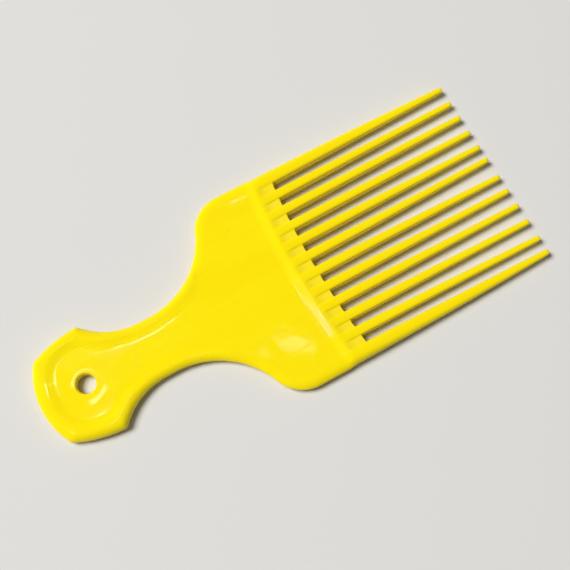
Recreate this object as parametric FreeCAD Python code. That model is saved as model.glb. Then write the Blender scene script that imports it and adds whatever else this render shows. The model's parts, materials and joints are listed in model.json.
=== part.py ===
import FreeCAD, Part
import math
import os

# A flat hair pick moulded in one piece: a rounded handle with a hanging hole, a waisted neck, a
# broad blade and a row of long tapered teeth. Stations run along the pick from the handle end
# (0) to the tooth tips. The pick lies flat: +X points to the tips, +Z is up through the
# thickness, and the origin is under the middle of its length and width.

# Outline, mm
OVERALL_LENGTH = 177.8
HEAD_WIDTH = 76.2
END_RADIUS = 29.5
END_CORNER_RADIUS = 1.8
PAD_WIDTH = 39.1
PAD_WIDEST_AT = 23.55
PAD_SIDE_RADIUS = 44.9
PAD_CORNER_RADIUS = 1.6
WAIST_WIDTH = 21.2
WAIST_AT = 43.0
WAIST_LENGTH = 3.4
NECK_REAR_RADIUS = 24.6
NECK_FRONT_RADIUS = 30.4
SHOULDER_RADIUS = 13.2

# The hanging hole, and where the pad ends and the neck begins
HOLE_DIAMETER = 6.35
HOLE_AT = 16.95
HOLE_LIP_RADIUS = 0.6
PAD_JOINT_AT = 29.0

# Thicknesses. Both faces are alike, so each is shared about the middle plane.
RIM_THICKNESS = 5.0
FLOOR_THICKNESS = 3.6
ROOT_THICKNESS = 5.0
WEB_THICKNESS = 4.0
EDGE_RADIUS = 1.7
EDGE_WALL_LEFT = 0.2

# The raised rim round the handle: its crest and the foot of its inner slope, measured in from
# the outline, and the stretch of neck over which it runs down to the blade
RIM_CREST_INSET = 2.6
RIM_FOOT_INSET = 6.6
RIM_FADE_TO = 64.0
RIM_FADE_LENGTH = 34.0

# The ridge that rises from the blade to carry the teeth, and the webs in front of it. Ridge,
# webs and slots follow one shallow arc.
RIDGE_CREST_AT = 98.0
RIDGE_RUN = 5.6
WEB_LENGTH = 5.6
ROOT_ARC_RADIUS = 265.0

# The tooth row
TOOTH_COUNT = 12
SLOT_WIDTH = 2.25
OUTER_TOOTH_STEP = 0.3
OUTER_TOOTH_WIDTH = 5.475
ROOT_CORNER_RADIUS = 1.3
TIP_SIDE_INSET = 1.55
TIP_WIDTH = 2.15
TIP_THICKNESS = 2.2
TIP_CORNER_RADIUS = 0.85
TIP_DOME_BANDS = 4
TIP_DOME_TURN = 80.0
# How far each tip is bent sideways, from the +Y side of the row to the -Y side
TIP_SET = [0.0, 0.0, 0.05, -0.2, -0.2, 0.7, -0.5, 0.0, 0.0, -0.25, -0.75, 0.0]

# Reach of the cutting shapes past the part, and of a tooth into the ridge before it is trimmed
MARGIN = 5.0
CUT_OVER = 0.1
ROOT_OVERLAP = 1.0
# A point this near a face lies on it, and an edge this steep runs through the thickness.
TOUCH = 1e-3
UPRIGHT_SLOPE = 0.9
# The largest share of a section's width that one rounded corner may take
CORNER_SHARE = 0.48

mid_height = max(RIM_THICKNESS, ROOT_THICKNESS) / 2
half_head = HEAD_WIDTH / 2
half_waist = WAIST_WIDTH / 2
edge_radius = min(EDGE_RADIUS, (FLOOR_THICKNESS - EDGE_WALL_LEFT) / 2)
lip_radius = min(HOLE_LIP_RADIUS, FLOOR_THICKNESS / 4)
row_half_width = half_head - OUTER_TOOTH_STEP
slot_pitch = (2 * (row_half_width - OUTER_TOOTH_WIDTH) - SLOT_WIDTH) / (TOOTH_COUNT - 2)
tip_pitch = (HEAD_WIDTH - 2 * TIP_SIDE_INSET - TIP_WIDTH) / (TOOTH_COUNT - 1)
plate_end = RIDGE_CREST_AT + MARGIN
cut_width = HEAD_WIDTH + 2 * MARGIN
cut_height = 2 * mid_height + 2 * MARGIN
up = FreeCAD.Vector(0, 0, 1)


def at(station, y, height=0.0):
    """A point from its station, side position and height over the middle plane."""
    return FreeCAD.Vector(station - OVERALL_LENGTH / 2, y, mid_height + height)


def crossing(first, second):
    """The crossing of two circles (station, y, radius) that is nearer the handle end."""
    across = second[0] - first[0]
    rise = second[1] - first[1]
    apart = math.hypot(across, rise)
    along = (apart**2 + first[2] ** 2 - second[2] ** 2) / (2 * apart)
    aside = math.sqrt(first[2] ** 2 - along**2)
    found = []
    for turn in (1, -1):
        station = first[0] + (along * across - turn * aside * rise) / apart
        y = first[1] + (along * rise + turn * aside * across) / apart
        found.append((station, y))
    return min(found)


def plan_edge(circle, start, stop, height):
    """The shorter arc of a circle between two of its points, or a line where there is none."""
    if circle is None:
        return Part.LineSegment(at(*start, height), at(*stop, height)).toShape()
    lean = ((start[0] + stop[0]) / 2 - circle[0], (start[1] + stop[1]) / 2 - circle[1])
    reach = circle[2] / math.hypot(*lean)
    middle = (circle[0] + lean[0] * reach, circle[1] + lean[1] * reach)
    return Part.Arc(at(*start, height), at(*middle, height), at(*stop, height)).toShape()


def plan_wire(inset, height, handle_only):
    """The outline from handle end to blade, moved in by an inset, with square pad corners. It
    stops where the rim has run out, or runs on past the ridge."""
    end = (END_RADIUS, 0.0, END_RADIUS - inset)
    side = (PAD_WIDEST_AT, PAD_WIDTH / 2 - PAD_SIDE_RADIUS, PAD_SIDE_RADIUS - inset)
    rear_at = WAIST_AT - WAIST_LENGTH / 2
    front_at = WAIST_AT + WAIST_LENGTH / 2
    rear = (rear_at, half_waist + NECK_REAR_RADIUS, NECK_REAR_RADIUS + inset)
    front = (front_at, half_waist + NECK_FRONT_RADIUS, NECK_FRONT_RADIUS + inset)
    end_corner = crossing(end, side)
    pad_corner = crossing(side, rear)
    rear_waist = (rear_at, half_waist - inset)
    front_waist = (front_at, half_waist - inset)
    run = [(side, end_corner, pad_corner), (rear, pad_corner, rear_waist), (None, rear_waist, front_waist)]
    if handle_only:
        last = (RIM_FADE_TO, front[1] - math.sqrt(front[2] ** 2 - (RIM_FADE_TO - front_at) ** 2))
        run.append((front, front_waist, last))
    else:
        # The shoulder arc touches both the neck arc and the head's straight side.
        reach = NECK_FRONT_RADIUS + SHOULDER_RADIUS
        drop = front[1] - (half_head - SHOULDER_RADIUS)
        span = math.sqrt(reach**2 - drop**2)
        shoulder = (front_at + span, half_head - SHOULDER_RADIUS, SHOULDER_RADIUS - inset)
        meeting = (front_at + span * front[2] / reach, front[1] - drop * front[2] / reach)
        shoulder_top = (shoulder[0], half_head - inset)
        last = (plate_end, half_head - inset)
        run += [(front, front_waist, meeting), (shoulder, meeting, shoulder_top), (None, shoulder_top, last)]
    edges = [
        plan_edge(end, (end_corner[0], -end_corner[1]), end_corner, height),
        plan_edge(None, (last[0], -last[1]), last, height),
    ]
    for circle, start, stop in run:
        edges.append(plan_edge(circle, start, stop, height))
        mirrored = [point and (point[0], -point[1], *point[2:]) for point in (circle, start, stop)]
        edges.append(plan_edge(*mirrored, height))
    return Part.Wire(Part.__sortEdges__(edges))


def ogee(start, stop):
    """Two equal arcs, level at both ends, from one (station, height) to another."""
    run = stop[0] - start[0]
    rise = stop[1] - start[1]
    radius = (run**2 + rise**2) / (4 * abs(rise))
    half_turn = math.asin(run / 2 / radius) / 2
    along = radius * math.sin(half_turn)
    lift = math.copysign(radius * (1 - math.cos(half_turn)), rise)
    middle = ((start[0] + stop[0]) / 2, (start[1] + stop[1]) / 2)
    first = [start, (start[0] + along, start[1] + lift), middle]
    second = [middle, (stop[0] - along, stop[1] - lift), stop]
    return [Part.Arc(*[at(s, 0, h) for s, h in arc]).toShape() for arc in (first, second)]


def side_line(start, stop):
    """A line in the lengthwise upright plane between two (station, height) points."""
    return Part.LineSegment(at(start[0], 0, start[1]), at(stop[0], 0, stop[1])).toShape()


def side_face(upper_edges, start, stop):
    """A face in the lengthwise upright plane, between upper edges and their mirror image below.
    start and stop are the (station, height) ends of the upper edges."""
    lower_edges = [edge.mirror(at(0, 0), up) for edge in upper_edges]
    ends = [side_line((s, -h), (s, h)) for s, h in (start, stop)]
    return Part.Face(Part.Wire(Part.__sortEdges__(upper_edges + lower_edges + ends)))


def block(station_from, station_to, y_from, y_to, thickness):
    """A box between two stations and two side positions, about the middle plane."""
    size = (station_to - station_from, y_to - y_from, thickness)
    return Part.makeBox(*size, at(station_from, y_from, -thickness / 2))


def beyond_arc(station, radius=ROOT_ARC_RADIUS):
    """The space on the tooth side of an arc that crosses the middle line at a station."""
    return Part.makeCylinder(radius, cut_height, at(station + radius, 0, -cut_height / 2), up)


def middle_of(edge):
    return edge.valueAt((edge.FirstParameter + edge.LastParameter) / 2)


def edges_of(shape, upright):
    """The edges of a shape that run up through its thickness, or those that do not."""
    real = [edge for edge in shape.Edges if not edge.Degenerated]
    steep = [abs(edge.tangentAt(edge.FirstParameter).z) > UPRIGHT_SLOPE for edge in real]
    return [edge for edge, is_steep in zip(real, steep) if is_steep == upright]


def rounded_prism():
    """The outline at rim thickness, with its pad corners rounded in plan."""
    prism = Part.Face(plan_wire(0, -RIM_THICKNESS / 2, False)).extrude(up * RIM_THICKNESS)
    for radius, first, last in (
        (PAD_CORNER_RADIUS, HOLE_AT, PAD_JOINT_AT),
        (END_CORNER_RADIUS, 0, HOLE_AT - HOLE_DIAMETER),
    ):
        stations = [(edge, middle_of(edge).x + OVERALL_LENGTH / 2) for edge in edges_of(prism, True)]
        prism = prism.makeFillet(radius, [edge for edge, station in stations if first < station < last])
    return prism


def rounded_plate():
    """The handle and blade before hollowing: rim thickness at the handle, running down to floor
    thickness at the blade, with every outer edge rounded."""
    thick = RIM_THICKNESS / 2
    thin = FLOOR_THICKNESS / 2
    first = (-MARGIN, thick)
    fade_from = (RIM_FADE_TO - RIM_FADE_LENGTH, thick)
    fade_to = (RIM_FADE_TO, thin)
    last = (plate_end + MARGIN, thin)
    upper_edges = [side_line(first, fade_from), *ogee(fade_from, fade_to), side_line(fade_to, last)]
    profile = side_face(upper_edges, first, last)
    profile.translate(FreeCAD.Vector(0, -cut_width / 2, 0))
    prism = rounded_prism()
    plate = prism.common(profile.extrude(FreeCAD.Vector(0, cut_width, 0)))
    sides = [face for face in prism.Faces if abs(face.normalAt(0, 0).z) < UPRIGHT_SLOPE]
    outer_edges = []
    for edge in edges_of(plate, False):
        middle = middle_of(edge)
        on_side = any(face.isInside(middle, TOUCH, True) for face in sides)
        if on_side and middle.x < at(plate_end, 0).x - TOUCH:
            outer_edges.append(edge)
    return plate.makeFillet(edge_radius, outer_edges)


def hollow(flip):
    """The shape that hollows one face of the handle down to the floor, with a sloping side."""
    low = FLOOR_THICKNESS / 2
    high = RIM_THICKNESS / 2
    slope = (RIM_FOOT_INSET - RIM_CREST_INSET) / (high - low)
    foot = plan_wire(RIM_FOOT_INSET, flip * low, True)
    crest = plan_wire(RIM_CREST_INSET - slope * CUT_OVER, flip * (high + CUT_OVER), True)
    return Part.makeLoft([foot, crest], True, True)


def hollowed_plate():
    """The handle and blade with both faces of the handle hollowed and the hanging hole cut."""
    plate = rounded_plate().cut(hollow(1)).cut(hollow(-1))
    foot = at(HOLE_AT, 0, -cut_height / 2)
    plate = plate.cut(Part.makeCylinder(HOLE_DIAMETER / 2, cut_height, foot, up))
    lips = []
    for edge in edges_of(plate, False):
        from_axis = middle_of(edge) - at(HOLE_AT, 0)
        if abs(math.hypot(from_axis.x, from_axis.y) - HOLE_DIAMETER / 2) < TOUCH:
            lips.append(edge)
    return plate.makeFillet(lip_radius, lips)


def ridge():
    """The curved bar that rises from the blade to the full thickness of the tooth roots."""
    foot = (RIDGE_CREST_AT - RIDGE_RUN, FLOOR_THICKNESS / 2)
    crest = (RIDGE_CREST_AT, ROOT_THICKNESS / 2)
    centre = at(RIDGE_CREST_AT + ROOT_ARC_RADIUS, 0)
    sweep = math.degrees(math.asin(cut_width / 2 / ROOT_ARC_RADIUS))
    face = side_face(ogee(foot, crest), foot, crest)
    face.rotate(centre, up, -sweep)
    bar = face.revolve(centre, up, 2 * sweep)
    bar = bar.common(block(0, OVERALL_LENGTH, -half_head, half_head, cut_height))
    side_edges = [edge for edge in edges_of(bar, False) if abs(middle_of(edge).y) > half_head - TOUCH]
    return bar.makeFillet(edge_radius, side_edges)


def slot_middle(number):
    """Side position of a slot at its root, counted from the +Y side."""
    return ((TOOTH_COUNT - 2) / 2 - number) * slot_pitch


def tooth_section(station, low, high, thickness, corner):
    """A rounded rectangle across the pick between two flanks, as a wire."""
    corner = min(corner, CORNER_SHARE * (high - low), CORNER_SHARE * thickness)
    bow = corner * math.sqrt(0.5)
    top = thickness / 2
    bends = []
    for flank, side, level in ((high, 1, 1), (low, -1, 1), (low, -1, -1), (high, 1, -1)):
        centre = (flank - side * corner, level * (top - corner))
        on_flank = at(station, flank, centre[1])
        on_face = at(station, centre[0], level * top)
        middle = at(station, centre[0] + side * bow, centre[1] + level * bow)
        bends.append((on_flank, middle, on_face) if side == level else (on_face, middle, on_flank))
    edges = []
    for bend, following in zip(bends, bends[1:] + bends[:1]):
        edges.append(Part.Arc(*bend).toShape())
        edges.append(Part.LineSegment(bend[2], following[0]).toShape())
    return Part.Wire(edges)


def tooth(number):
    """One tapered tooth from the ridge crest to its domed tip, counted from the +Y side."""
    high = row_half_width
    low = -row_half_width
    if number > 0:
        high = slot_middle(number - 1) - SLOT_WIDTH / 2
    if number < TOOTH_COUNT - 1:
        low = slot_middle(number) + SLOT_WIDTH / 2
    root_at = RIDGE_CREST_AT - ROOT_OVERLAP
    sections = [tooth_section(root_at, low, high, ROOT_THICKNESS, ROOT_CORNER_RADIUS)]
    tip = ((TOOTH_COUNT - 1) / 2 - number) * tip_pitch + TIP_SET[number % len(TIP_SET)]
    dome = TIP_WIDTH / 2
    for band in range(TIP_DOME_BANDS + 1):
        turn = math.radians(TIP_DOME_TURN * band / TIP_DOME_BANDS)
        station = OVERALL_LENGTH - dome * (1 - math.sin(turn) / math.sin(math.radians(TIP_DOME_TURN)))
        share = math.cos(turn)
        flanks = (tip - dome * share, tip + dome * share)
        sections.append(tooth_section(station, *flanks, TIP_THICKNESS * share, TIP_CORNER_RADIUS * share))
    return Part.makeLoft(sections, True, True).common(beyond_arc(RIDGE_CREST_AT))


def web(number, teeth):
    """The panel that closes the foot of a slot, between a tooth and the next one."""
    middle = slot_middle(number)
    reach = (middle - slot_pitch / 2, middle + slot_pitch / 2)
    panel = block(RIDGE_CREST_AT - MARGIN, RIDGE_CREST_AT + WEB_LENGTH + MARGIN, *reach, WEB_THICKNESS)
    panel = panel.common(beyond_arc(RIDGE_CREST_AT)).cut(beyond_arc(RIDGE_CREST_AT + WEB_LENGTH))
    return panel.cut(teeth[number]).cut(teeth[number + 1])


def keep(name, shape):
    """Write the single solid of a shape as one node."""
    shape.Solids[0].exportStep("parts/%s.step" % name)


os.makedirs("parts", exist_ok=True)

plate = hollowed_plate()
across = (-cut_width / 2, cut_width / 2, cut_height)
keep("handle_pad", plate.common(block(-MARGIN, PAD_JOINT_AT, *across)))
keep("handle_neck", plate.common(block(PAD_JOINT_AT, RIM_FADE_TO, *across)))
blade = plate.common(block(RIM_FADE_TO, plate_end, *across))
keep("blade", blade.cut(beyond_arc(RIDGE_CREST_AT - RIDGE_RUN, ROOT_ARC_RADIUS + RIDGE_RUN)))
keep("tooth_ridge", ridge())

teeth = [tooth(number) for number in range(TOOTH_COUNT)]
for number, shape in enumerate(teeth):
    keep("tooth_%02d" % (number + 1), shape)
for number in range(TOOTH_COUNT - 1):
    keep("root_web_%02d" % (number + 1), web(number, teeth))
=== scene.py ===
import json
import math

import bpy
import numpy as np
from mathutils import Matrix, Vector


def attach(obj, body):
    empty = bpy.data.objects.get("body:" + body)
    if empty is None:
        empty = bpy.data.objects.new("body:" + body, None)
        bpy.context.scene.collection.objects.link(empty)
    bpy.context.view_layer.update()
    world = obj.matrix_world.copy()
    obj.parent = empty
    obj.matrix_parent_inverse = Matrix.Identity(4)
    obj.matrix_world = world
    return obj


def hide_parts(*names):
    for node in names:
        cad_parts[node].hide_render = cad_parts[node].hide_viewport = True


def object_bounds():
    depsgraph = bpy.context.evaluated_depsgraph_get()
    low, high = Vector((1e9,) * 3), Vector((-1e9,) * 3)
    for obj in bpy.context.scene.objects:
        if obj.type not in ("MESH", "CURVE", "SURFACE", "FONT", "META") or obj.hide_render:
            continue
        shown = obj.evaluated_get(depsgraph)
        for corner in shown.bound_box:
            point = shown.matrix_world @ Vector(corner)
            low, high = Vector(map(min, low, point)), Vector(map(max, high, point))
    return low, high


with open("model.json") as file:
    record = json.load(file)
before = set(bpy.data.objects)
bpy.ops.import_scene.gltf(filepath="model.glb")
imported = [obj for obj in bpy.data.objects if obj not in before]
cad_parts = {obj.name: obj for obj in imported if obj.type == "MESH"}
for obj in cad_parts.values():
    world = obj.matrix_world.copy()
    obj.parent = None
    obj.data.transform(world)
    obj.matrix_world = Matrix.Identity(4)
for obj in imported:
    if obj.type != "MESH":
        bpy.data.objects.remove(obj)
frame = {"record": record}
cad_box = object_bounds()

# A one-piece moulded hair pick. Lengths are in millimetres. Stations run along the pick from the
# handle end (0) to the tooth tips, and half thicknesses count from its middle plane.
MM = 0.001
LENGTH = (cad_box[1][0] - cad_box[0][0]) / MM
HALF_HEAD = (cad_box[1][1] - cad_box[0][1]) / 2 / MM
MID_HEIGHT = (cad_box[1][2] + cad_box[0][2]) / 2 / MM

# The outline's arcs
END_RADIUS = 29.5
END_CORNER = 1.8
PAD_HALF_WIDTH = 19.55
PAD_WIDEST_AT = 23.55
PAD_SIDE_RADIUS = 44.9
PAD_CORNER = 1.6
HALF_WAIST = 10.6
NECK_REAR_AT = 41.3
NECK_REAR_RADIUS = 24.6
NECK_FRONT_AT = 44.7
NECK_FRONT_RADIUS = 30.4
SHOULDER_RADIUS = 13.2

# Where one region of the moulding gives way to the next
PAD_JOINT_AT = 29.0
NECK_JOINT_AT = 64.0
RIDGE_FOOT_AT = 92.4
RIDGE_CREST_AT = 98.0
SLOT_START_AT = 103.6
ROOT_ARC_RADIUS = 265.0

# Where the outline narrows from the head to the tooth row, and where the traced outline ends
NARROWING_FROM = RIDGE_CREST_AT - 1.0
NARROWING_TO = RIDGE_CREST_AT + 2.5
OUTLINE_TO = RIDGE_CREST_AT + 14.0

# Half thicknesses of the handle and blade, of the ridge and tooth roots, and of the webs
PLATE_HALF = 1.68
ROOT_HALF = 2.5
WEB_HALF = 2.0

# The moulded edge, as a width in from the outline, on the handle and on the blade
HANDLE_EDGE = 3.0
BLADE_EDGE = 3.4
EDGE_BLEND_FROM = 40.0
EDGE_BLEND_TO = 70.0

# The handle's raised rim: the insets of its crest and its foot, and its rise, along the pad's
# sides, round the pad end and along the neck. A second low step widens it into a hollow there.
RIM_SIDE = (2.6, 6.4, 0.62)
RIM_END = (3.4, 8.0, 0.42)
RIM_NECK = (1.6, 4.0, 0.18)
NECK_HOLLOW = (2.6, 6.4, 0.14)
RIM_NECK_FROM = 24.0
RIM_NECK_TO = 40.0
RIM_FADE_FROM = 61.0
RIM_FADE_TO = 74.0
# The rim rounds the pad's inner corners. Past END_ARC_TO the end arc soon stops counting there.
RIM_CORNER_BLEND = 1.6
END_ARC_TO = END_RADIUS - 4.0
END_ARC_PUSH = 2.0
INSET_RANGE = (-2.0, 60.0)

# The handle's floor sinks to the middle, and swells a hair round the hanging hole.
DISH = 0.2
DISH_HALF_WIDTH = 12.0
DISH_FADE_FROM = 60.0
DISH_FADE_TO = 78.0
HOLE_LIP = 0.7
HOLE_SWELL = 0.035
HOLE_SWELL_AT = 5.2
HOLE_SWELL_WIDTH = 1.4

# The ramp up to the ridge's top, and the fall from there into the webs
RAMP_TO = 97.4
RAMP_LATENESS = 1.25
WEB_FALL_FROM = 95.9
WEB_FALL_TO = 100.7
WEB_END_ROUND = 0.2
ROOT_FILLET = 0.4

# The tooth row, a little narrower than the head
TEETH = 12
SLOT_PITCH = 6.24
SLOT_WIDTH = 2.25
SLOT_CORNER = 0.08
SLOT_CORNER_FROM = 101.0
ROW_HALF_WIDTH = HALF_HEAD - 0.3
TIP_PITCH = 6.45
TIP_HALF_WIDTH = 1.075
TIP_HALF_THICK = 1.1
TOOTH_FROM = 97.0
DOME_FROM = LENGTH - TIP_HALF_WIDTH
# Sideways bend of each tip, from the -Y side of the row to the +Y side
TIP_SET = [0.0, -0.75, -0.25, 0.0, 0.0, -0.5, 0.7, -0.2, -0.2, 0.05, 0.0, 0.0]
OUTER_BOW = 0.3
# How square a tooth's section is: 2 is an ellipse, and more is nearer a box
ROOT_SQUARENESS = 4.4
OUTER_SQUARENESS = 2.3
TIP_SQUARENESS = 3.0

# Steps of the traced outline on its arcs, its small corners and its straight sides
ARC_STEP = 0.1
CORNER_STEP = 0.05
SIDE_STEP = 0.5

# Mesh lines across a tooth, across a web and round a moulded edge, and the insets of those just
# inside the edge
TOOTH_COLUMNS = 13
WEB_COLUMNS = 5
EDGE_STEPS = 8
EDGE_BEYOND = (4.0, 4.8, 5.8, 6.9)
# The widest share of the half width that the edge's lines take, and where they start to gather
# into the lines of the tooth row
EDGE_SHARE = 0.9
GATHER_FROM = 80.0
# The reach and step over which the outline's slant is averaged
SLANT_REACH = 1.5
SLANT_SAMPLES = 5
SLANT_STEP = 0.2

# Mesh rows along the pick, as spacings or as counts
PLATE_STEP = 0.6
NECK_STEP = 0.7
SHOULDER_STEP = 0.3
SHOULDER_FROM = 68.0
SHOULDER_TO = 78.0
HOLE_BLOCK = 4.2
HOLE_RINGS = 9
LIP_RINGS = 8
RIDGE_ROWS = 14
ROOT_ROWS = 13
WEB_END_ROWS = 5
TOOTH_ROWS = 45
DOME_ROWS = 6
DOME_TURN = math.radians(80)
TINY = 1e-6
BATCH = 2000

# The plastic's colours, and its roughness where it is polished and where it is scuffed
BODY_YELLOW = "#FEE608"
BODY_STREAK = "#FDE205"
# The webs' yellow is paler than the body's: painted sheen on the thin webs, as the pick is one
# plastic
WEB_SHEEN_YELLOW = "#FCE428"
WEB_SHEEN_STREAK = "#FAE022"
BODY_ROUGHNESS = 0.05
WEB_ROUGHNESS = 0.16
SCUFF_ROUGHNESS = 0.16
# Real sizes of the marks that moulding and handling leave, and the turns of the scuffs in radians
FLOW_LENGTH = 40.0
FLOW_WIDTH = 6.25
SCUFF_LENGTH = 30.3
SCUFF_SPACING = 0.303
SCUFF_TURNS = (0.35, -0.8)
RUBBED_PATCH = 15.15
SINK_WAVE = 9.09
POLISH_RIPPLE = 1.515
# Depths of those marks, each with the share of it that shows
SINK_RELIEF = (0.2, 0.25)
RIPPLE_RELIEF = (0.02, 0.15)
SCUFF_RELIEF = (0.02, 0.2)

# The studio. A lamp has a place, a length and width, a power in watts, the turn of its length from
# the pick's own in degrees, and whether the pick's gloss mirrors it.
FLOOR_COLOUR = "#DEDCD8"
FLOOR_HALF_SIDE = 1500.0
FLOOR_GAP = 0.02
LAMPS = {
    "key_panel": ((-2080, 1600, 4060), (2100, 2100), 249.0, -38, False),
    "ceiling_tube": ((-95, 256, 1173), (200, 30), 0.17, -13, True),
    "blade_lamp": ((138, 200, 1173), (46, 14), 0.012, -43, True),
    "edge_lamp": ((174, 471, 1173), (28, 10), 0.01, -15, True),
    "side_tube": ((-450, 176, 1173), (90, 30), 0.62, 90, True),
}
# Light of the dome and of the backdrop, which fades in below a rise over the horizon
FILL = 0.12
BACKDROP = 0.72
BACKDROP_TOP = 0.35
BACKDROP_FULL = 0.15

# The camera's place and aim, with heights from the pick's middle plane, and the way to the right
# in its picture
CAMERA_AT = (-43.28, -80.61, 313.70)
CAMERA_AIM = (2.55, -1.74, 0.0)
PICTURE_RIGHT = (0.8742, -0.4855, 0.0056)
LENS = 60.0
PICTURE_WIDTH = 36.0
NEAREST_SEEN = 10.0

mount = next(m for m in frame["record"]["mounts"] if m["name"] == "hanging_hole")
HOLE_RADIUS = mount["dims"]["r_mm"]
HOLE_AT = mount["pos_m"][0] / MM + LENGTH / 2


def ease(x, start=0.0, stop=1.0):
    """0 up to a start and 1 from a stop, with no kink at either."""
    t = np.clip((x - start) / (stop - start), 0, 1)
    return t * t * t * (t * (6 * t - 15) + 10)


def moulded_edge(inset, width):
    """Share of full height at an inset from the outline, on a quarter-ellipse edge."""
    t = np.clip(inset / width, 0, 1)
    return np.sqrt(np.clip(1 - (1 - t) ** 2, 0, 1))


def edge_insets(width, steps):
    """Insets at even turns round a moulded edge, from the outline inwards."""
    return width * (1 - np.cos(np.linspace(0, math.pi / 2, steps + 1)))


def soft_max(a, b, blend):
    """The larger of two heights, with a fillet where they cross."""
    h = np.clip(0.5 + 0.5 * (a - b) / blend, 0, 1)
    return b + (a - b) * h + blend * h * (1 - h)


def grown(circle, by):
    """A circle (station, y, radius) with its radius changed."""
    return (*circle[:2], circle[2] + by)


def crossing(first, second):
    """The crossing of two circles that is nearer the handle end."""
    across, rise = second[0] - first[0], second[1] - first[1]
    apart = math.hypot(across, rise)
    along = (apart**2 + first[2] ** 2 - second[2] ** 2) / (2 * apart)
    aside = math.sqrt(first[2] ** 2 - along**2)
    both = []
    for turn in (aside, -aside):
        station = first[0] + (along * across - turn * rise) / apart
        y = first[1] + (along * rise + turn * across) / apart
        both.append((station, y))
    return min(both)


def on_circle(circle, point):
    """The point of a circle in the direction of another point, or of a circle's centre."""
    lean = np.subtract(point[:2], circle[:2])
    return np.array(circle[:2]) + lean * circle[2] / np.hypot(*lean)


def arc(circle, start, stop, step=ARC_STEP):
    """Points along the shorter arc of a circle between two of its points."""
    first = math.atan2(start[1] - circle[1], start[0] - circle[0])
    turn = math.atan2(stop[1] - circle[1], stop[0] - circle[0]) - first
    turn = (turn + math.pi) % (2 * math.pi) - math.pi
    angles = first + np.linspace(0, turn, max(4, int(abs(turn) * circle[2] / step)))
    return np.c_[circle[0] + circle[2] * np.cos(angles), circle[1] + circle[2] * np.sin(angles)]


def half_outline():
    """The +Y half of the outline from the middle of the handle end to the tooth row, and the place
    in it of the middle of the end corner."""
    end = (END_RADIUS, 0.0, END_RADIUS)
    side = (PAD_WIDEST_AT, PAD_HALF_WIDTH - PAD_SIDE_RADIUS, PAD_SIDE_RADIUS)
    rear = (NECK_REAR_AT, HALF_WAIST + NECK_REAR_RADIUS, NECK_REAR_RADIUS)
    front = (NECK_FRONT_AT, HALF_WAIST + NECK_FRONT_RADIUS, NECK_FRONT_RADIUS)
    reach = NECK_FRONT_RADIUS + SHOULDER_RADIUS
    drop = front[1] - (HALF_HEAD - SHOULDER_RADIUS)
    shoulder_at = NECK_FRONT_AT + math.sqrt(reach**2 - drop**2)
    shoulder = (shoulder_at, HALF_HEAD - SHOULDER_RADIUS, SHOULDER_RADIUS)
    end_round = (*crossing(grown(end, -END_CORNER), grown(side, -END_CORNER)), END_CORNER)
    pad_round = (*crossing(grown(side, -PAD_CORNER), grown(rear, PAD_CORNER)), PAD_CORNER)
    meeting = on_circle(front, shoulder)
    first = arc(end, (0, 0), on_circle(end, end_round))
    corner = arc(end_round, on_circle(end, end_round), on_circle(side, end_round), CORNER_STEP)
    runs = [
        first,
        corner,
        arc(side, on_circle(side, end_round), on_circle(side, pad_round)),
        arc(pad_round, on_circle(side, pad_round), on_circle(rear, pad_round), CORNER_STEP),
        arc(rear, on_circle(rear, pad_round), (NECK_REAR_AT, HALF_WAIST)),
        arc(front, (NECK_FRONT_AT, HALF_WAIST), meeting),
        arc(shoulder, meeting, (shoulder_at, HALF_HEAD)),
        [(s, HALF_HEAD) for s in np.arange(shoulder_at + SIDE_STEP, NARROWING_FROM, SIDE_STEP)],
        [(s, ROW_HALF_WIDTH) for s in np.arange(NARROWING_TO, OUTLINE_TO, SIDE_STEP)],
    ]
    points = np.vstack(runs)
    keep = np.r_[True, np.hypot(*np.diff(points, axis=0).T) > TINY]
    return points[keep], len(first) + len(corner) // 2


half, corner_index = half_outline()
whole = np.vstack([half[:0:-1] * (1, -1), half])


def inset_from_outline(points):
    """Distance in from the outline, for points of shape (n, 2)."""
    start, step = whole[:-1], np.diff(whole, axis=0)
    long2 = (step**2).sum(1)
    out = np.empty(len(points))
    for first in range(0, len(points), BATCH):
        away = points[first : first + BATCH, None, :] - start
        t = np.clip((away * step).sum(2) / long2, 0, 1)
        out[first : first + BATCH] = np.sqrt(((away - t[..., None] * step) ** 2).sum(2).min(1))
    return out


def root_sag(y):
    """How far the ridge and slot arc runs ahead of its middle, at a side position."""
    return ROOT_ARC_RADIUS - np.sqrt(ROOT_ARC_RADIUS**2 - np.square(y))


def handle_inset(x, y):
    """Distance in from the handle's outline with its inner corners rounded off, and how far the
    nearest stretch of outline is the pad end (0 to 1)."""
    end = END_RADIUS - np.hypot(x - END_RADIUS, y)
    ways = [end + END_ARC_PUSH * np.clip(x - END_ARC_TO, 0, None)]
    for side in (1, -1):
        pad = np.hypot(x - PAD_WIDEST_AT, side * y - PAD_HALF_WIDTH + PAD_SIDE_RADIUS)
        ways.append(PAD_SIDE_RADIUS - pad + np.clip(x - PAD_JOINT_AT, 0, None))
        from_waist = side * y - HALF_WAIST
        rear = np.hypot(x - NECK_REAR_AT, from_waist - NECK_REAR_RADIUS) - NECK_REAR_RADIUS
        front = np.hypot(x - NECK_FRONT_AT, from_waist - NECK_FRONT_RADIUS) - NECK_FRONT_RADIUS
        ways.append(np.where(x < (NECK_REAR_AT + NECK_FRONT_AT) / 2, rear, front))
    near = np.exp(-np.clip(ways, *INSET_RANGE) / RIM_CORNER_BLEND)
    return -RIM_CORNER_BLEND * np.log(near.sum(0)), near[0] / near.sum(0)


def rim_step(inset, fade, crest, foot, rise):
    """Height of a rim over the handle's floor at an inset. The fade (0 to 1) draws its foot out
    to the edge."""
    return rise * (1 - ease(inset + foot * fade, crest, foot))


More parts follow.
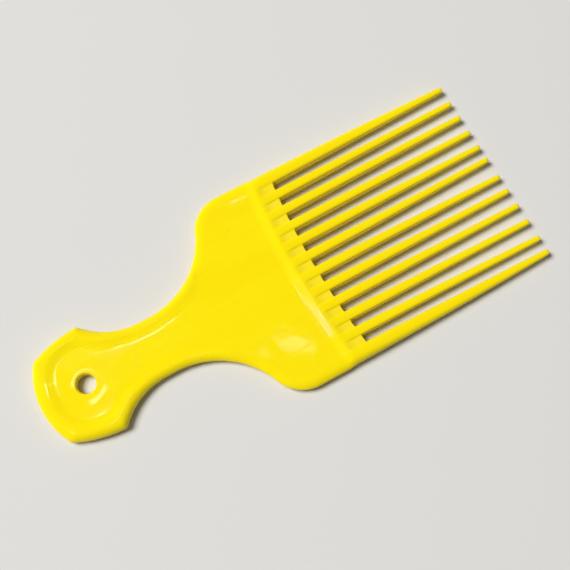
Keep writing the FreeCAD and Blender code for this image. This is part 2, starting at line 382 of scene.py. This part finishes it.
def plate_height(x, y, inset):
    """Half thickness of the handle, blade and ridge."""
    rounded, at_end = handle_inset(x, y)
    at_neck = ease(x, RIM_NECK_FROM, RIM_NECK_TO)
    profile = [
        side + (end - side) * at_end + (neck - side) * at_neck
        for side, end, neck in zip(RIM_SIDE, RIM_END, RIM_NECK)
    ]
    fade = ease(x, RIM_FADE_FROM, RIM_FADE_TO)
    rim = rim_step(rounded, fade, *profile) + at_neck * rim_step(rounded, fade, *NECK_HOLLOW)
    dish = DISH * np.tanh((y / DISH_HALF_WIDTH) ** 2)
    dish = dish * (1 - ease(x, DISH_FADE_FROM, DISH_FADE_TO))
    from_hole = np.hypot(x - HOLE_AT, y)
    swell = HOLE_SWELL * np.exp(-(((from_hole - HOLE_SWELL_AT) / HOLE_SWELL_WIDTH) ** 2))
    ramp = np.clip((x - root_sag(y) - RIDGE_FOOT_AT) / (RAMP_TO - RIDGE_FOOT_AT), 0, 1)
    ramp = ease(ramp**RAMP_LATENESS)
    full = PLATE_HALF + rim + dish + swell + (ROOT_HALF - PLATE_HALF) * ramp
    width = HANDLE_EDGE + (RIM_END[0] - RIM_SIDE[0]) * at_end
    width = BLADE_EDGE + (width - BLADE_EDGE) * (1 - ease(x, EDGE_BLEND_FROM, EDGE_BLEND_TO))
    return full * moulded_edge(inset, width)


def row_height(s, x, y, wide, tooth_height):
    """Half thickness along the root arc at a station: the ridge's top, which falls into the webs
    between the teeth."""
    level = plate_height(x, y, wide - np.abs(y))
    past = max(0, (s - SLOT_START_AT) / WEB_END_ROUND + 1)
    web = WEB_HALF * math.sqrt(max(0, 1 - past**2))
    shape = np.where(tooth_height > 0, soft_max(tooth_height, web, ROOT_FILLET), web)
    # No web meets the outer sides of the first and last teeth.
    outside = np.r_[: TOOTH_COLUMNS // 2, len(y) - TOOTH_COLUMNS // 2 : len(y)]
    shape[outside] = tooth_height[outside]
    height = level + (shape - level) * ease(s, WEB_FALL_FROM, WEB_FALL_TO)
    height[[0, -1]] = 0
    return height


def tooth_name(tooth):
    """A tooth's node. Nodes count from the +Y side, and teeth here from 0 at the -Y side."""
    return "tooth_%02d" % (TEETH - tooth)


def tooth_middle(tooth, pitch):
    """Side position of a tooth's middle line in a row of a pitch."""
    return (tooth - (TEETH - 1) / 2) * pitch


def along_tooth(x):
    """Share of the way from the ridge to the domed tip at a station."""
    return (x - TOOTH_FROM) / (DOME_FROM - TOOTH_FROM)


def tooth_flanks(tooth, x):
    """Low and high side positions of a tooth at a station."""
    t = along_tooth(x)
    low = (tooth - TEETH / 2) * SLOT_PITCH + SLOT_WIDTH / 2
    high = (tooth + 1 - TEETH / 2) * SLOT_PITCH - SLOT_WIDTH / 2
    low_bow = high_bow = 0.0
    bow = OUTER_BOW * 4 * t * (1 - t)
    if tooth == 0:
        low, low_bow = -ROW_HALF_WIDTH, bow
    if tooth == TEETH - 1:
        high, high_bow = ROW_HALF_WIDTH, bow
    tip = tooth_middle(tooth, TIP_PITCH)
    bend = TIP_SET[tooth] * t * t * (3 - t) / 2
    low = low + (tip - TIP_HALF_WIDTH - low) * t + bend - low_bow
    high = high + (tip + TIP_HALF_WIDTH - high) * t + bend + high_bow
    return low, high


def tooth_section(tooth, x):
    """Side positions and half thicknesses across a tooth at a station, flank to flank."""
    t = along_tooth(x)
    low, high = tooth_flanks(tooth, x)
    thick = ROOT_HALF + (TIP_HALF_THICK - ROOT_HALF) * t
    turn = np.linspace(-math.pi / 2, math.pi / 2, TOOTH_COLUMNS)
    outside = (turn < 0) & (tooth == 0) | (turn > 0) & (tooth == TEETH - 1)
    squareness = np.where(outside, OUTER_SQUARENESS, ROOT_SQUARENESS)
    power = 2 / (squareness + (TIP_SQUARENESS - squareness) * t)
    across = np.sign(np.sin(turn)) * np.abs(np.sin(turn)) ** power
    height = thick * np.clip(np.cos(turn), 0, 1) ** power
    height[[0, -1]] = 0
    return (low + high) / 2 + (high - low) / 2 * across, height


def root_section(tooth, s):
    """A tooth's section where its middle line crosses the root arc at a station."""
    return tooth_section(tooth, s + root_sag(tooth_middle(tooth, SLOT_PITCH)))


def root_row(s):
    """Every mesh column across the tooth row on the root arc at a station: side positions, tooth
    half thicknesses (0 on the webs) and places across each web (-1 to 1, or nan on the teeth)."""
    y, height, across = [], [], []
    places = np.linspace(-1, 1, WEB_COLUMNS + 2)[1:-1]
    for tooth in range(TEETH):
        section_y, section_height = root_section(tooth, s)
        if tooth > 0:
            flank = y[-1][-1]
            y.append(flank + (section_y[0] - flank) * (places + 1) / 2)
            height.append(np.zeros(WEB_COLUMNS))
            across.append(places)
        y.append(section_y)
        height.append(section_height)
        across.append(np.full(TOOTH_COLUMNS, np.nan))
    return np.concatenate(y), np.concatenate(height), np.concatenate(across)


class Sheet:
    """The moulding as one net of points in plan, each with a half thickness, and faces that each
    belong to a named region. Where the half thickness is 0, the two faces of the pick meet."""

    def __init__(self):
        self.x, self.y, self.h, self.faces, self.names = [], [], [], [], []

    def add(self, x, y, h):
        """Adds points and gives their numbers."""
        first = sum(len(part) for part in self.x)
        x, y, h = np.broadcast_arrays(x, y, h)
        self.x.append(x.ravel())
        self.y.append(y.ravel())
        self.h.append(h.ravel())
        return first + np.arange(x.size).reshape(x.shape)

    def face(self, ring, name):
        self.faces.append(ring)
        self.names.append(name)

    def strip(self, lower, upper, name):
        """Faces between two rows of points, the second nearer the tips."""
        for a, b, c, d in zip(lower[:-1], upper[:-1], upper[1:], lower[1:]):
            self.face([a, b, c, d], name)


sheet = Sheet()


def plate_rows():
    """Stations, on the side outline, of the mesh rows from the handle end to the ridge foot."""
    rows = list(half[corner_index][0] + edge_insets(HANDLE_EDGE, EDGE_STEPS))
    stretches = (
        (PAD_JOINT_AT, PLATE_STEP),
        (NECK_JOINT_AT, NECK_STEP),
        (SHOULDER_FROM, PLATE_STEP),
        (SHOULDER_TO, SHOULDER_STEP),
        (RIDGE_FOOT_AT + root_sag(HALF_HEAD), PLATE_STEP),
    )
    for stop, step in stretches:
        count = max(1, round((stop - rows[-1]) / step))
        rows += list(np.linspace(rows[-1], stop, count + 1)[1:])
    return np.array(rows)


def outline_slant(stations, side):
    """Length of the side outline per length of the pick, averaged round each station."""
    near = stations[:, None] + np.linspace(-SLANT_REACH, SLANT_REACH, SLANT_SAMPLES)
    ahead = np.interp(near + SLANT_STEP, side[:, 0], side[:, 1])
    behind = np.interp(near - SLANT_STEP, side[:, 0], side[:, 1])
    return np.sqrt(1 + ((ahead - behind) / (2 * SLANT_STEP)) ** 2).mean(1)


def plate_net():
    """Stations of the plate's mesh rows, and each point's own station and side position. Rows bow
    with the pad end at one end of the plate and with the root arc at the other."""
    stations = plate_rows()
    side = half[corner_index:]
    wide = np.interp(stations, side[:, 0], side[:, 1])
    insets = np.r_[edge_insets(BLADE_EDGE, EDGE_STEPS), EDGE_BEYOND]
    root_y = root_row(RIDGE_CREST_AT)[0]
    inner = np.linspace(-1, 1, len(root_y) - 2 * len(insets) + 2)[1:-1]
    end_x, end_y = half[: corner_index + 1].T
    first, foot = stations[0], stations[-1]
    xs, ys = [], []
    for station, w, slant in zip(stations, wide, outline_slant(stations, side)):
        edge = w - insets * min(slant, EDGE_SHARE * w / insets[-1])
        across = np.r_[-edge, edge[-1] * inner, edge[::-1]]
        gathered = root_y * w / ROW_HALF_WIDTH
        across = across + (gathered - across) * ease(station, GATHER_FROM, foot)
        bulge = max(0, (PAD_JOINT_AT - station) / (PAD_JOINT_AT - first)) ** 2
        back = end_x[-1] - np.interp(np.abs(across) * end_y[-1] / w, end_y, end_x)
        bow = ease(station, NECK_JOINT_AT, foot)
        xs.append(station - bulge * back - bow * (root_sag(w) - root_sag(across)))
        ys.append(across)
    return stations, np.array(xs), np.array(ys)


def plate_region(start, stop):
    """The region that a mesh row of the plate belongs to."""
    if stop <= PAD_JOINT_AT + TINY:
        return "handle_pad"
    return "blade" if start >= NECK_JOINT_AT - TINY else "handle_neck"


def add_plate():
    """Handle pad, neck and blade, with the hanging hole. Gives the row at the ridge foot."""
    stations, x, y = plate_net()
    inset = inset_from_outline(np.c_[x.ravel(), y.ravel()]).reshape(x.shape)
    inset[0] = 0
    inset[:, [0, -1]] = 0
    number = sheet.add(x, y, plate_height(x, y, inset))
    ahead = np.abs(x[:, x.shape[1] // 2] - HOLE_AT)
    rows = np.flatnonzero(ahead < HOLE_RADIUS + HOLE_BLOCK)
    columns = np.flatnonzero(np.abs(y[np.argmin(ahead)]) < HOLE_RADIUS + HOLE_BLOCK)
    for row in range(len(stations) - 1):
        name = plate_region(stations[row], stations[row + 1])
        if rows[0] <= row < rows[-1]:
            sheet.strip(number[row, : columns[0] + 1], number[row + 1, : columns[0] + 1], name)
            sheet.strip(number[row, columns[-1] :], number[row + 1, columns[-1] :], name)
        else:
            sheet.strip(number[row], number[row + 1], name)
    block = number[rows[0] : rows[-1] + 1, columns[0] : columns[-1] + 1]
    loop = np.r_[block[0, :-1], block[:-1, -1], block[-1, :0:-1], block[:0:-1, 0]]
    add_hole(loop, x.ravel()[loop], y.ravel()[loop])
    return number[-1]


def add_hole(loop, loop_x, loop_y):
    """Rings of points from a square loop in the pad's net to the hanging hole and down into it."""
    turn = np.arctan2(loop_y, loop_x - HOLE_AT)
    lip_to = HOLE_RADIUS + HOLE_LIP
    steps = [(share, lip_to) for share in np.linspace(0, 1, HOLE_RINGS + 1)[1:]]
    steps += [(1, HOLE_RADIUS + inset) for inset in edge_insets(HOLE_LIP, LIP_RINGS)[-2::-1]]
    last = loop
    for share, radius in steps:
        x = loop_x + (HOLE_AT + radius * np.cos(turn) - loop_x) * share
        y = loop_y + (radius * np.sin(turn) - loop_y) * share
        height = plate_height(x, y, inset_from_outline(np.c_[x, y]))
        lip = moulded_edge(np.hypot(x - HOLE_AT, y) - HOLE_RADIUS, HOLE_LIP)
        if radius <= HOLE_RADIUS:
            lip = 0
        ring = sheet.add(x, y, height * lip)
        sheet.strip(np.r_[last, last[0]], np.r_[ring, ring[0]], "handle_pad")
        last = ring


def add_ridge(foot_row):
    """The curved bar between the blade and the teeth. Gives the row at its crest."""
    y, tooth_height, _ = root_row(RIDGE_CREST_AT)
    last = foot_row
    for t in np.linspace(0, 1, RIDGE_ROWS + 1)[1:]:
        s = RIDGE_FOOT_AT + (RIDGE_CREST_AT - RIDGE_FOOT_AT) * t
        wide = HALF_HEAD + (ROW_HALF_WIDTH - HALF_HEAD) * ease(t)
        across = y * wide / ROW_HALF_WIDTH
        x = s + root_sag(across)
        row = sheet.add(x, across, row_height(s, x, across, wide, tooth_height))
        sheet.strip(last, row, "tooth_ridge")
        last = row
    return last


def add_teeth(crest_row):
    """Tooth roots and webs in front of the ridge, then each free tooth to its domed tip."""
    rows = np.linspace(RIDGE_CREST_AT, SLOT_START_AT - WEB_END_ROUND, ROOT_ROWS + 1)[1:]
    rows = np.r_[rows, SLOT_START_AT - edge_insets(WEB_END_ROUND, WEB_END_ROWS)[-2::-1]]
    pitch = TOOTH_COLUMNS + WEB_COLUMNS
    last = crest_row
    for s in rows:
        y, tooth_height, across = root_row(s)
        x = s + root_sag(y)
        height = row_height(s, x, y, ROW_HALF_WIDTH, tooth_height)
        # The slot's foot rounds into the teeth at its two corners.
        hollow = SLOT_CORNER * (1 - np.abs(np.nan_to_num(across, nan=1.0)) ** 3)
        row = sheet.add(x - hollow * ease(s, SLOT_CORNER_FROM, SLOT_START_AT), y, height)
        for tooth in range(TEETH):
            first = tooth * pitch
            part = slice(first, first + TOOTH_COLUMNS)
            sheet.strip(last[part], row[part], tooth_name(tooth))
            if tooth < TEETH - 1:
                part = slice(first + TOOTH_COLUMNS - 1, first + pitch + 1)
                sheet.strip(last[part], row[part], "root_web_%02d" % (TEETH - 1 - tooth))
        last = row
    for tooth in range(TEETH):
        first = tooth * pitch
        add_free_tooth(tooth, last[first : first + TOOTH_COLUMNS])


def add_free_tooth(tooth, root):
    """One tooth from the foot of its slots to the end of its domed tip."""
    name = tooth_name(tooth)
    start_x = SLOT_START_AT + root_sag(root_section(tooth, SLOT_START_AT)[0])
    last = root
    for t in np.linspace(0, 1, TOOTH_ROWS + 1)[1:]:
        x = start_x + (DOME_FROM - start_x) * t
        y, height = tooth_section(tooth, x.mean())
        row = sheet.add(x, y, height)
        sheet.strip(last, row, name)
        last = row
    middle = (y[0] + y[-1]) / 2
    for turn in np.linspace(0, DOME_TURN, DOME_ROWS + 1)[1:]:
        x = DOME_FROM + TIP_HALF_WIDTH * math.sin(turn)
        share = math.cos(turn)
        row = sheet.add(x, middle + (y - middle) * share, height * share)
        sheet.strip(last, row, name)
        last = row
    apex = sheet.add(LENGTH, middle, 0.0).item()
    for a, b in zip(last[:-1], last[1:]):
        sheet.face([a, apex, b], name)


def face_normals(points, turn):
    """Sums, at each point, of the normals of the sheet's faces round it, longer for larger faces."""
    total = np.zeros_like(points)
    for size in (3, 4):
        rings = np.array([face for face in sheet.faces if len(face) == size])
        p = points[rings]
        normal = turn * np.cross(p[:, size - 2] - p[:, 0], p[:, size - 1] - p[:, size - 3])
        for corner in range(size):
            np.add.at(total, rings[:, corner], normal)
    return total


def unit(vectors):
    """Vectors at length 1. A point of the net under the hanging hole has no face, and keeps 0."""
    return vectors / np.maximum(np.linalg.norm(vectors, axis=1), np.finfo(float).tiny)[:, None]


def moulding_surface():
    """The whole moulding in metres: where its two faces meet, and its upper and lower points and
    smooth normals."""
    x, y, h = (np.concatenate(part) for part in (sheet.x, sheet.y, sheet.h))
    top = np.c_[x - LENGTH / 2, y, MID_HEIGHT + h] * MM
    bottom = np.c_[x - LENGTH / 2, y, MID_HEIGHT - h] * MM
    parting = h <= 0
    up, down = face_normals(top, -1), face_normals(bottom, 1)
    up[parting] = down[parting] = up[parting] + down[parting]
    return parting, (top, bottom), (unit(up), unit(down))


def region_mesh(name, parting, places, normals):
    """One region of the sheet as a closed mesh: its upper and lower faces, and flat walls where
    another region goes on. Neighbours share points and normals, so no seam shows between them."""
    faces = [face for face, owner in zip(sheet.faces, sheet.names) if owner == name]
    numbers, points, facings = {}, [], []
    rings, corner_normals, edges = [], [], {}

    def corner(index, lower):
        side = 1 if lower and not parting[index] else 0
        if (index, side) not in numbers:
            numbers[(index, side)] = len(points)
            points.append(places[side][index])
            facings.append(normals[side][index])
        return numbers[(index, side)]

    for face in faces:
        for lower, ring in ((False, face[::-1]), (True, face)):
            rings.append([corner(index, lower) for index in ring])
            corner_normals += [facings[i] for i in rings[-1]]
        edges.update(dict.fromkeys(zip(face, face[1:] + face[:1])))
    for a, b in edges:
        if (b, a) in edges or (parting[a] and parting[b]):
            continue
        ring = [corner(a, False), corner(b, False), corner(b, True), corner(a, True)]
        ring = [v for i, v in enumerate(ring) if v not in ring[:i]]
        p = [points[v] for v in ring[:3]]
        facing = np.cross(p[1] - p[0], p[2] - p[0])
        rings.append(ring)
        corner_normals += [facing / np.linalg.norm(facing)] * len(ring)
    mesh = bpy.data.meshes.new("moulded_" + name)
    mesh.from_pydata([tuple(p) for p in points], [], rings)
    mesh.polygons.foreach_set("use_smooth", [True] * len(mesh.polygons))
    mesh.normals_split_custom_set([tuple(n) for n in corner_normals])
    return mesh


def add_pieces(materials):
    """Cuts the sheet into its regions, and makes each one a piece."""
    surface = moulding_surface()
    for name in sorted(set(sheet.names)):
        mesh = region_mesh(name, *surface)
        # The webs take the paler yellow of painted sheen, the rest the body's yellow.
        mesh.materials.append(materials["web" if name.startswith("root_web") else "body"])
        piece = bpy.data.objects.new("moulded_" + name, mesh)
        bpy.context.collection.objects.link(piece)
        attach(piece, "root")
        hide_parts(name)


def linear(hex_colour):
    """An sRGB hex colour as linear RGBA."""
    parts = [int(hex_colour[i : i + 2], 16) / 255 for i in (1, 3, 5)]
    return [c / 12.92 if c <= 0.04045 else ((c + 0.055) / 1.055) ** 2.4 for c in parts] + [1.0]


def node(tree, kind, inputs=(), **settings):
    """Adds a node. An input given as a socket is linked, and any other is set."""
    made = tree.nodes.new(kind)
    for key, value in settings.items():
        setattr(made, key, value)
    for key, value in dict(inputs).items():
        if isinstance(value, bpy.types.NodeSocket):
            tree.links.new(value, made.inputs[key])
        else:
            made.inputs[key].default_value = value
    return made


def per_metre(size):
    """Repeats per metre of a pattern of a size in millimetres."""
    return 1 / (size * MM)


def moulded_polypropylene(name, colour, streak, roughness):
    """Pigmented polypropylene, injection moulded in a polished tool. To the eye: one strong even
    colour with faint flow streaks, a smooth gloss that waves slightly where the plastic sank as it
    cooled, and hairline scuffs from handling."""
    material = bpy.data.materials.new(name)
    material.use_nodes = True
    tree = material.node_tree
    tree.nodes.clear()
    place = node(tree, "ShaderNodeTexCoord").outputs["Object"]

    # Flow streaks run along the pick.
    scale = (per_metre(FLOW_LENGTH), per_metre(FLOW_WIDTH), per_metre(FLOW_WIDTH))
    along = node(tree, "ShaderNodeMapping", {"Vector": place, "Scale": scale}).outputs[0]
    noise = {"Vector": along, "Scale": 1.0, "Detail": 3.0, "Distortion": 0.4}
    flow = node(tree, "ShaderNodeTexNoise", noise).outputs["Fac"]
    span = {"Value": flow, "From Min": 0.35, "From Max": 0.7}
    tone = node(tree, "ShaderNodeMapRange", span).outputs[0]
    tones = {"Factor": tone, "A": linear(colour), "B": linear(streak)}
    mixed = node(tree, "ShaderNodeMix", tones, data_type="RGBA").outputs["Result"]

    # Hairline scuffs lie in two directions, and rubbed patches hold more of them.
    scuffs = []
    scale = (per_metre(SCUFF_LENGTH), per_metre(SCUFF_SPACING), 1)
    for turn in SCUFF_TURNS:
        turned = {"Vector": place, "Rotation": (0, 0, turn), "Scale": scale}
        lean = node(tree, "ShaderNodeMapping", turned).outputs[0]
        noise = {"Vector": lean, "Scale": 1.0, "Detail": 1.0}
        hair = node(tree, "ShaderNodeTexNoise", noise).outputs["Fac"]
        span = {"Value": hair, "From Min": 0.66, "From Max": 0.74}
        scuffs.append(node(tree, "ShaderNodeMapRange", span).outputs[0])
    scuff = node(tree, "ShaderNodeMath", dict(enumerate(scuffs)), operation="MAXIMUM").outputs[0]
    noise = {"Vector": place, "Scale": per_metre(RUBBED_PATCH), "Detail": 2.0}
    patch = node(tree, "ShaderNodeTexNoise", noise).outputs["Fac"]
    worn = node(tree, "ShaderNodeMath", {0: scuff, 1: patch}, operation="MULTIPLY").outputs[0]
    span = {"Value": worn, "From Min": 0.0, "From Max": 0.6}
    span.update({"To Min": roughness, "To Max": roughness + SCUFF_ROUGHNESS})
    rough = node(tree, "ShaderNodeMapRange", span).outputs[0]

    # Broad sink waves, the finer ripple of the tool's polish, and the cut of the scuffs
    noise = {"Vector": place, "Scale": per_metre(SINK_WAVE), "Detail": 1.0}
    sink = node(tree, "ShaderNodeTexNoise", noise).outputs["Fac"]
    noise = {"Vector": place, "Scale": per_metre(POLISH_RIPPLE), "Detail": 1.0}
    ripple = node(tree, "ShaderNodeTexNoise", noise).outputs["Fac"]
    surface = {"Base Color": mixed, "Roughness": rough, "IOR": 1.49, "Specular IOR Level": 0.3}
    reliefs = ((sink, SINK_RELIEF), (ripple, RIPPLE_RELIEF), (worn, SCUFF_RELIEF))
    normal = {}
    for height, (depth, strength) in reliefs:
        relief = {"Height": height, "Strength": strength, "Distance": depth * MM}
        normal = {"Normal": node(tree, "ShaderNodeBump", relief | normal).outputs[0]}
    shader = node(tree, "ShaderNodeBsdfPrincipled", surface | normal)
    node(tree, "ShaderNodeOutputMaterial", {"Surface": shader.outputs[0]})
    return material


def add_floor():
    """A plain pale sheet under the pick."""
    far = FLOOR_HALF_SIDE * MM
    level = cad_box[0][2] - FLOOR_GAP * MM
    corners = [(-far, -far, level), (far, -far, level), (far, far, level), (-far, far, level)]
    mesh = bpy.data.meshes.new("floor")
    mesh.from_pydata(corners, [], [[0, 1, 2, 3]])
    floor = bpy.data.objects.new("floor", mesh)
    bpy.context.collection.objects.link(floor)
    material = bpy.data.materials.new("matt_pale_board")
    material.use_nodes = True
    shader = material.node_tree.nodes["Principled BSDF"]
    shader.inputs["Base Color"].default_value = linear(FLOOR_COLOUR)
    shader.inputs["Roughness"].default_value = 0.75
    mesh.materials.append(material)


def faced(at, wide, back):
    """A matrix at a place in metres whose Z points back and whose X is as near a way as it can be."""
    wide = (wide - back * wide.dot(back)).normalized()
    turned = Matrix((wide, back.cross(wide), back)).transposed()
    return Matrix.Translation(at) @ turned.to_4x4()


def add_lamp(name, at, size, power, degrees, glare):
    """A flat lamp that faces the pick. One with no glare lights the pick but is not mirrored in
    its gloss."""
    light = bpy.data.lights.new(name, "AREA")
    light.shape = "RECTANGLE"
    light.size, light.size_y = Vector(size) * MM
    light.energy = power
    lamp = bpy.data.objects.new(name, light)
    at = Vector(at) * MM
    turn = math.radians(degrees)
    lamp.matrix_world = faced(at, Vector((math.cos(turn), math.sin(turn), 0)), at.normalized())
    lamp.visible_glossy = glare
    lamp.visible_camera = False
    bpy.context.collection.objects.link(lamp)


def add_camera():
    """A camera that leans over the pick from its -Y side."""
    middle = Vector((0, 0, MID_HEIGHT))
    at = (Vector(CAMERA_AT) + middle) * MM
    aim = (Vector(CAMERA_AIM) + middle) * MM
    data = bpy.data.cameras.new("camera")
    data.lens = LENS
    data.sensor_width = PICTURE_WIDTH
    data.clip_start = NEAREST_SEEN * MM
    camera = bpy.data.objects.new("camera", data)
    camera.matrix_world = faced(at, Vector(PICTURE_RIGHT), (at - aim).normalized())
    bpy.context.collection.objects.link(camera)
    bpy.context.scene.camera = camera


def add_studio():
    """A dim even dome for fill, with a pale backdrop behind the floor."""
    world = bpy.data.worlds.new("studio")
    bpy.context.scene.world = world
    world.use_nodes = True
    tree = world.node_tree
    tree.nodes.clear()
    way = node(tree, "ShaderNodeTexCoord").outputs["Generated"]
    rise = node(tree, "ShaderNodeSeparateXYZ", {0: way}).outputs["Z"]
    span = {"Value": rise, "From Min": BACKDROP_TOP, "From Max": BACKDROP_FULL}
    low = node(tree, "ShaderNodeMapRange", span).outputs[0]
    path = node(tree, "ShaderNodeLightPath").outputs
    seen = path["Is Camera Ray"]
    for ray in ("Is Glossy Ray", "Is Transmission Ray"):
        either = {0: seen, 1: path[ray]}
        seen = node(tree, "ShaderNodeMath", either, operation="MAXIMUM").outputs[0]
    shown = node(tree, "ShaderNodeMath", {0: seen, 1: low}, operation="MULTIPLY").outputs[0]
    levels = {"Factor": shown, "A": FILL, "B": BACKDROP}
    tone = node(tree, "ShaderNodeMix", levels).outputs[0]
    light = {"Color": linear("#FFFFFF"), "Strength": tone}
    glow = node(tree, "ShaderNodeBackground", light)
    node(tree, "ShaderNodeOutputWorld", {"Surface": glow.outputs[0]})


add_teeth(add_ridge(add_plate()))
body = ("moulded_yellow_polypropylene", BODY_YELLOW, BODY_STREAK, BODY_ROUGHNESS)
# The web material's paler yellow is painted sheen, not a second plastic.
web = ("web_yellow_with_painted_sheen", WEB_SHEEN_YELLOW, WEB_SHEEN_STREAK, WEB_ROUGHNESS)
add_pieces({"body": moulded_polypropylene(*body), "web": moulded_polypropylene(*web)})
add_floor()
for lamp_name, lamp in LAMPS.items():
    add_lamp(lamp_name, *lamp)
add_camera()
add_studio()
bpy.context.scene.view_settings.view_transform = "Standard"
